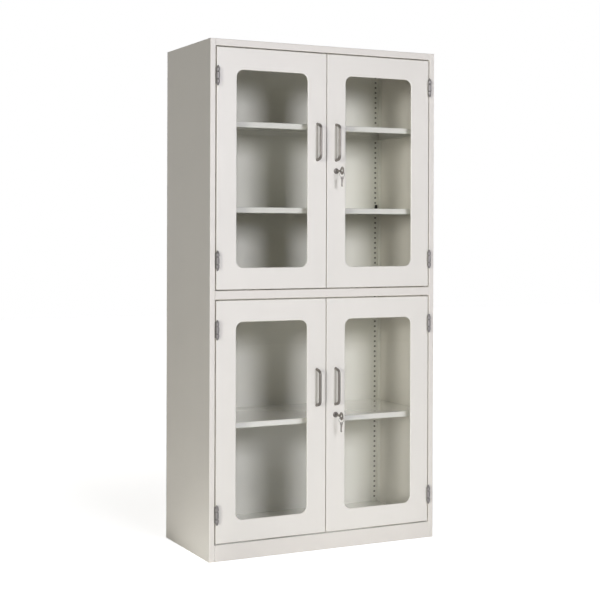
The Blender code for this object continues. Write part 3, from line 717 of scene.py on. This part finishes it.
# Hinges: two turned steel hinges on each door, welded into the gap by their leaves. The frame's half has the
# upper and lower knuckles with pointed ends, and the door's half has the middle knuckle.
def turned(profile, centre, axis, around=32, is_ring=False):
    """A turned shape: the profile's first value is a distance from the axis and its second a place along it,
    and a point is the centre plus both, with the distance swung evenly round the axis."""
    profile = np.array(profile, float)
    angle = np.linspace(0, 2 * math.pi, around, endpoint=False)
    others = [number for number in range(3) if number != axis]
    rings = np.zeros((len(profile), around, 3)) + np.array(centre)
    rings[..., others[0]] += profile[:, :1] * np.cos(angle)
    rings[..., others[1]] += profile[:, :1] * np.sin(angle)
    rings[..., axis] += profile[:, 1:]
    return tube_shell(rings, is_ring)


def leaf_shell(inner, outer, depths, heights):
    """A flat leaf, as a grid of its two edges, its two faces and its two ends."""
    grid = np.zeros((2, 2, 2, 3))
    grid[..., 1] = np.array(depths)[:, None, None]
    grid[..., 0] = np.array([inner, outer])[None, :, None]
    grid[..., 2] = np.array(heights)
    return sheet_shell(grid)


hinge_radius = 0.0065
hinge_half = 0.027             # middle of a hinge to the end of its barrel
hinge_tip = 0.008
hinge_seam = 0.013             # middle of a hinge to a seam between knuckles
hinge_forward = 0.0085         # the pin stands ahead of the frame's front face
pin_radius = 0.0025
pin_inward = 0.003
door_gap = 0.004
leaf_depth = 0.014
leaf_front = 0.001
leaf_thickness = 0.0013
chamfer = 0.0024
weld_start = hinge_radius * 0.7    # the door's leaf meets its knuckle behind the pin
hinge_steel = plated("hinge_steel", srgb(158, 155, 152), roughness=0.5, rubbed=0.12, metallic=0.5)

# A profile's rows are a distance from the pin's axis and a place along it.
knuckle = hinge_half - hinge_seam
point_profile = [(0.0052, 0.0012), (0.0034, 0.0046), (0.0022, 0.0070), (0.0012, hinge_tip)]
end_profile = [(hinge_radius - chamfer, 0), (hinge_radius, chamfer), (hinge_radius, knuckle - chamfer),
               (hinge_radius - chamfer, knuckle)]
end_profile += [(radius, knuckle + along) for radius, along in point_profile]
middle_end = hinge_seam - fit_gap
middle_profile = [(hinge_radius - chamfer, -middle_end), (hinge_radius, -middle_end + chamfer),
                  (hinge_radius, middle_end - chamfer), (hinge_radius - chamfer, middle_end)]
pin_profile = [(pin_radius, -hinge_seam), (pin_radius, hinge_seam)]
pin_y = front - hinge_forward
leaf_depths = (front - leaf_front, front + leaf_depth)
for door in doors:
    side = -1 if "left" in door else 1
    low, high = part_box(f"{door}_shell")
    door_edge = high.x if side > 0 else low.x
    stile_edge = door_edge + side * door_gap
    pin_x = stile_edge - side * (door_gap / 2 + pin_inward)
    stile_face = stile_edge - side * fit_gap
    stile_leaf = (stile_face, stile_face - side * leaf_thickness)
    door_face = door_edge + side * fit_gap
    door_leaf = (door_face, door_face + side * leaf_thickness)
    for label in ("top", "bottom"):
        low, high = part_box(f"{door}_{label}_hinge_frame_half")
        height = (low.z + high.z) / 2
        pin_middle = (pin_x, pin_y, height)
        leaf_span = (height - hinge_half, height + hinge_half)
        frame_half = [leaf_shell(*stile_leaf, leaf_depths, leaf_span), turned(pin_profile, pin_middle, 2)]
        for up in (-1, 1):
            end_knuckle = [(radius, up * (hinge_seam + along)) for radius, along in end_profile]
            frame_half.append(turned(end_knuckle, pin_middle, 2))
            tab = sorted((height + up * hinge_seam, height + up * hinge_half))
            frame_half.append(leaf_shell(*stile_leaf, (pin_y, leaf_depths[0]), tab))
        show(f"{door}_{label}_hinge_outer", frame_half, f"{door}_{label}_hinge_frame_half",
             hinge_steel)
        tab = (height - middle_end, height + middle_end)
        door_half = [leaf_shell(*door_leaf, leaf_depths, leaf_span), turned(middle_profile, pin_middle, 2),
                     leaf_shell(*door_leaf, (pin_y + weld_start, leaf_depths[0]), tab)]
        show(f"{door}_{label}_hinge_inner", door_half, f"{door}_{label}_hinge_door_half",
             hinge_steel)


# Locks: a chrome rosette and barrel pressed through each right-hand door, with a nickel plug and cam inside.
# The plug's solid has the real keyway and cam, so it stays.
rosette_radius = 0.010
rosette_face = 0.0043          # face of the rosette ahead of the door
lock_radius = 0.008
lock_back = 0.026
plug_bore = 0.00512
bore_bevel = 0.0006            # width of the bevel round the plug
bore_bevel_depth = 0.0005
rim_round = ((0.0022, 0.0), (0.0011, 0.0004), (0.0003, 0.0012), (0.0, 0.0022))    # in from the rim, and back
nickel = plated("key_nickel", srgb(160, 156, 149), roughness=0.45, rubbed=0.15)

body_profile = [(plug_bore, lock_back), (plug_bore, bore_bevel_depth - rosette_face),
                (plug_bore + bore_bevel, -rosette_face)]
body_profile += [(rosette_radius - inward, back - rosette_face) for inward, back in rim_round]
body_profile += [(rosette_radius, -fit_gap), (lock_radius, -fit_gap), (lock_radius, lock_back)]
for level in ("upper", "lower"):
    low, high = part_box(f"{level}_lock_body")
    centre = ((low.x + high.x) / 2, front, (low.z + high.z) / 2)
    barrel = turned(body_profile, centre, 1, is_ring=True)
    show(f"{level}_lock_barrel", [barrel], f"{level}_lock_body", chrome)
    coat_solid(frame["nodes"][f"{level}_lock_plug"], nickel)


# Keys: stamped from flat nickel-plated brass. One stays in each lock, and its spare hangs from it by a wire
# ring through both bows.
def bow_shell(centre, outer, hole, hole_up, thickness, around=48):
    """A key's bow: a flat ring in the plane of depth and height. Its section runs from the hole's edge to the
    outer edge and back, rounded at both, and a point goes from the hole's circle to the outer circle by the
    section's share and stands off the plane by its height."""
    angle = np.linspace(0, 2 * math.pi, around, endpoint=False)
    circle = np.stack([np.cos(angle), np.sin(angle)], axis=1)
    inner_line = hole * circle + np.array([0, hole_up])
    outer_line = outer * circle
    share = np.array([0.0, 0.03, 0.10, 0.90, 0.97, 1.0, 0.97, 0.90, 0.10, 0.03])[:, None, None]
    height = np.array([0.0, 0.7, 1.0, 1.0, 0.7, 0.0, -0.7, -1.0, -1.0, -0.7])[:, None] * thickness / 2
    flat = inner_line + (outer_line - inner_line) * share
    off_plane = np.broadcast_to(centre[0] + height, flat.shape[:2])
    rings = np.stack([off_plane, centre[1] + flat[..., 0], centre[2] + flat[..., 1]], axis=-1)
    return tube_shell(rings, is_ring=True)


def blade_outline(neck, tip, middle):
    """A key's blade, as places along it from its neck to its tip and across it from its middle: straight
    along the back, cut in along the other edge, and bevelled at the tip."""
    edge = middle - key_half
    back = middle + key_half
    bevel = math.copysign(tip_bevel, tip - neck)
    cuts = np.stack([neck + (tip - neck) * cut_share, edge + cut_depth], axis=1)
    return np.array([(neck, edge), *cuts, (tip, edge + tip_bevel), (tip, back - tip_bevel),
                     (tip - bevel, back), (neck, back)])


def plate_shell(outline, across, thickness):
    """A flat plate: its outline in depth and height, half the thickness to either side."""
    rings = np.zeros((2, len(outline), 3))
    rings[..., 0] = across + np.array([-0.5, 0.5])[:, None] * thickness
    rings[..., 1:] = outline
    return tube_shell(rings)


def wire_ring(centre, radius, wire, around=40, section=10):
    """A ring of wire across the cabinet: a circle of the wire's radius carried round a circle."""
    angle = np.linspace(0, 2 * math.pi, around, endpoint=False)[:, None]
    turn = np.linspace(0, 2 * math.pi, section, endpoint=False)
    reach = radius + wire * np.cos(turn)
    across = centre[0] + reach * np.cos(angle)
    depth = np.broadcast_to(centre[1] + wire * np.sin(turn), across.shape)
    return tube_shell(np.stack([across, depth, centre[2] + reach * np.sin(angle)], axis=-1), is_ring=True)


def turned_upright(shell, x, y, degrees):
    """A shell turned about an upright line through a place."""
    points, faces = shell
    turn = math.radians(degrees)
    across = points[:, 0] - x
    depth = points[:, 1] - y
    return np.stack([x + across * math.cos(turn) - depth * math.sin(turn),
                     y + across * math.sin(turn) + depth * math.cos(turn), points[:, 2]], axis=1), faces


key_thickness = 0.0022
key_half = 0.0035              # half the width of a blade
tip_bevel = 0.0016
bow_radius = 0.0145
bow_hole = 0.0045
bow_ahead = 0.0455             # middle of the bow ahead of the door
blade_end = 0.0134             # tip of the blade behind the door's face
ring_radius = 0.010
ring_wire = 0.0008
spare_radius = 0.0055
spare_hole = 0.0019
spare_hole_up = spare_radius / 2
spare_neck = spare_radius * 0.7    # a blade starts inside its bow
spare_length = 0.036
spare_turn = 60                # degrees that a hanging key is turned, so that its flat faces forward
cut_share = np.array([0.30, 0.36, 0.42, 0.50, 0.56, 0.64, 0.72, 0.78, 0.86, 0.92])    # along the blade
cut_depth = np.array([0.0, 0.45, 0.2, 0.2, 0.55, 0.3, 0.3, 0.5, 0.15, 0.0]) * key_half
bow_y = front - bow_ahead
neck_y = bow_y + (bow_radius + bow_hole) / 2
for level in ("upper", "lower"):
    low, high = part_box(f"{level}_lock_body")
    axis_x = (low.x + high.x) / 2
    axis_z = (low.z + high.z) / 2
    blade = blade_outline(neck_y, front + blade_end, axis_z)
    key = [bow_shell((axis_x, bow_y, axis_z), bow_radius, bow_hole, 0.0, key_thickness),
           plate_shell(blade, axis_x, key_thickness)]
    show(f"{level}_turning_key", key, f"{level}_key", nickel)

    ring_z = axis_z - bow_hole + ring_wire + fit_gap - ring_radius
    spare_z = ring_z - ring_radius - spare_hole_up
    blade = blade_outline(spare_z - spare_neck, spare_z + spare_radius - spare_length, bow_y)[:, ::-1]
    flats = [bow_shell((axis_x, bow_y, spare_z), spare_radius, spare_hole, spare_hole_up, key_thickness),
             plate_shell(blade, axis_x, key_thickness)]
    spare = [wire_ring((axis_x, bow_y, ring_z), ring_radius, ring_wire)]
    spare += [turned_upright(flat, axis_x, bow_y, spare_turn) for flat in flats]
    show(f"{level}_hanging_key", spare, f"{level}_spare_key", nickel)
